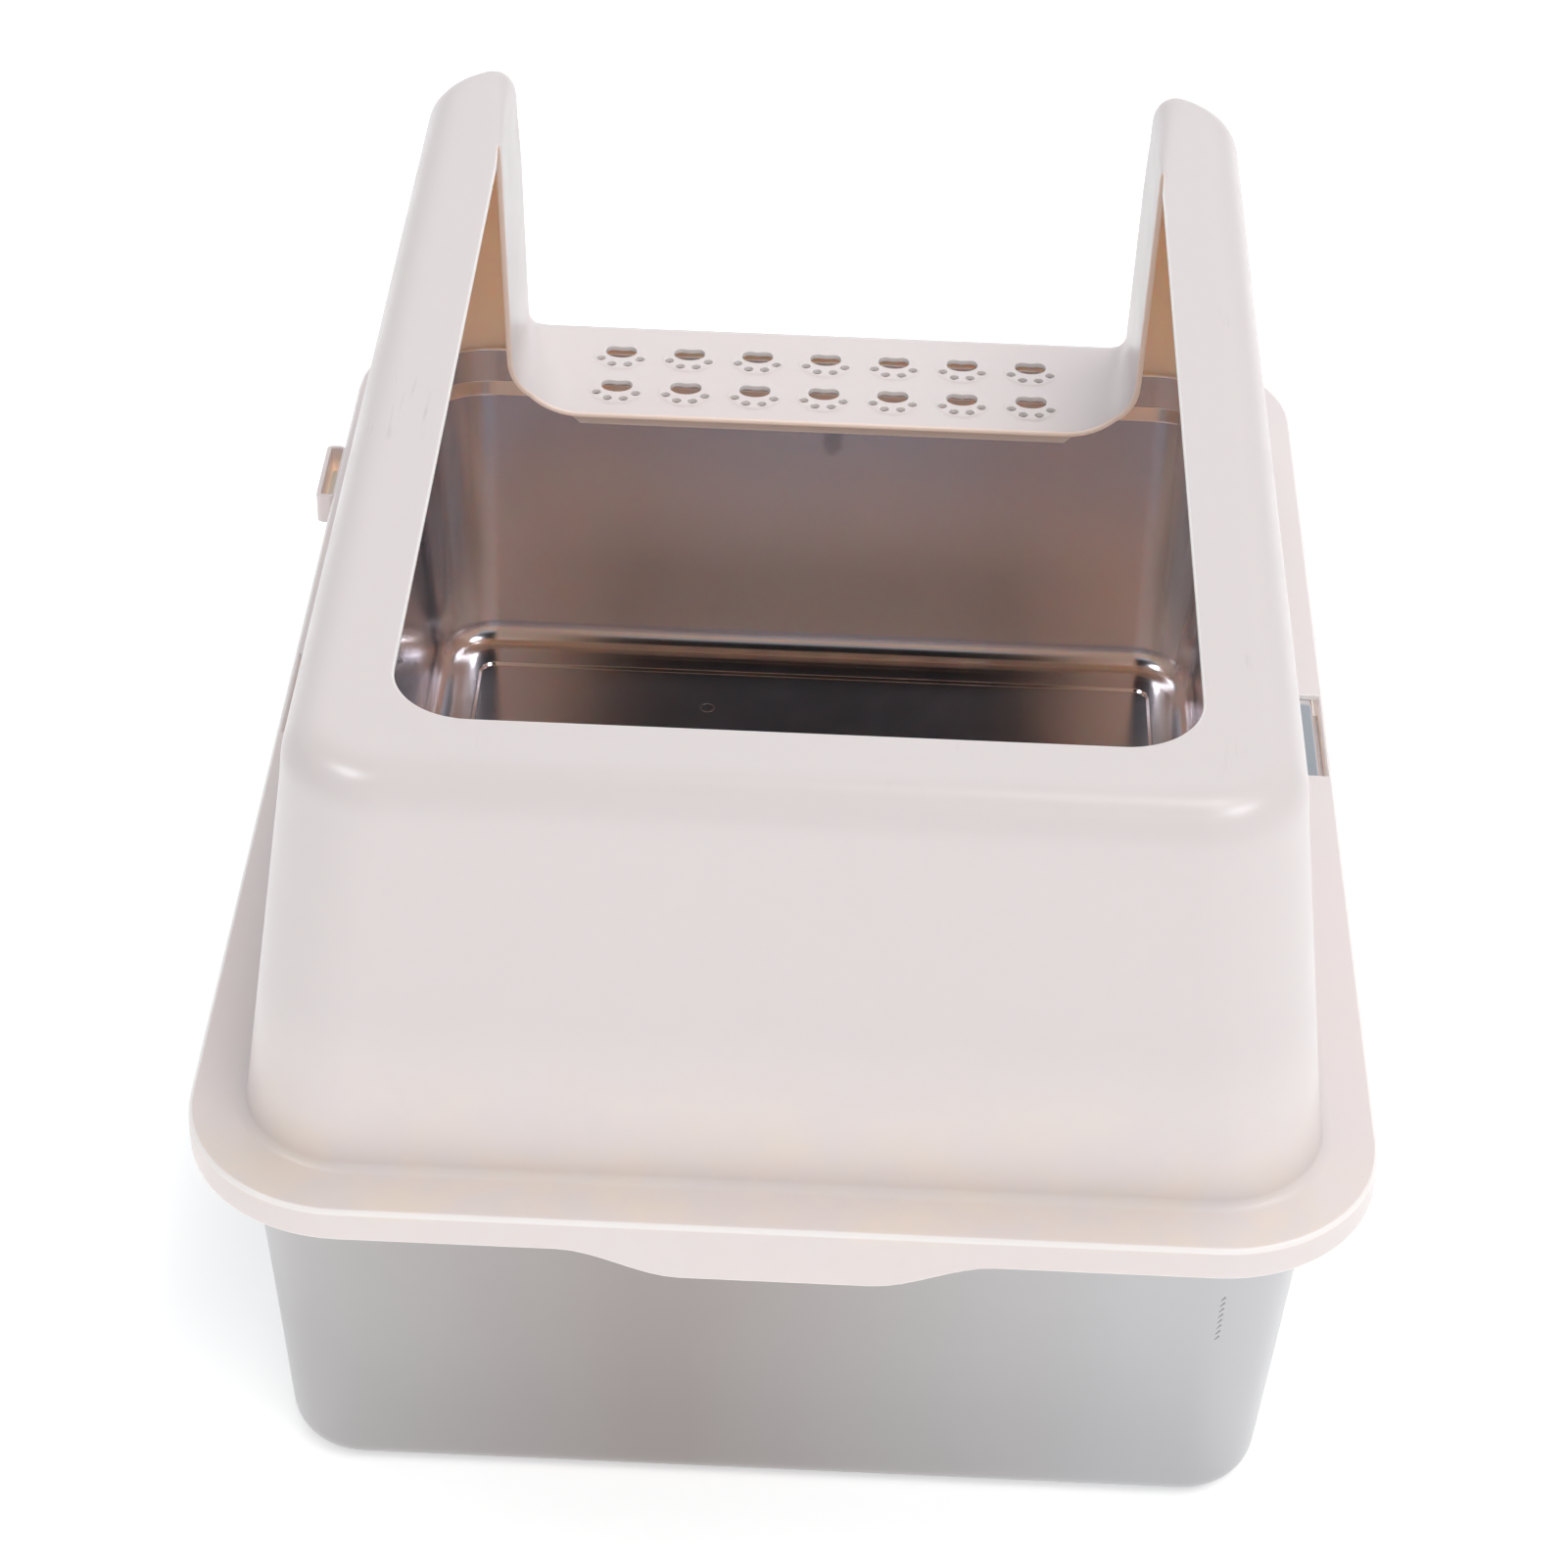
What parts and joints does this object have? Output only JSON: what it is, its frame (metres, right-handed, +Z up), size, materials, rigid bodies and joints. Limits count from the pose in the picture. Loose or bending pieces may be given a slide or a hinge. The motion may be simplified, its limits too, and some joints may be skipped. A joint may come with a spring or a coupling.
{
  "type": "cat litter box with hood",
  "caption": "Deep steel litter pan under a lift-off open-top plastic hood with a low perforated entrance step at one end.",
  "frame": {"origin": "on the ground under the middle of the pan's floor", "axes": "+Z up, +Y along the length towards the entrance step, +X to the right when looking along +Y"},
  "size_m": [0.407, 0.571, 0.307],
  "materials": {
    "steel": "satin",
    "hood_plastic": "satin"
  },
  "bodies": {
    "pan": {"pan": "steel"},
    "hood": {"hood_flange": "hood_plastic", "hood_shell": "hood_plastic", "entry_step": "hood_plastic", "scoop_loop": "hood_plastic", "snap_hook_left": "hood_plastic", "snap_hook_right": "hood_plastic"}
  },
  "joints": [
    {"name": "hood_lift", "type": "slide", "parent": "pan", "child": "hood", "axis": [0, 0, 1], "range_m": [0, 0.2]}
  ]
}
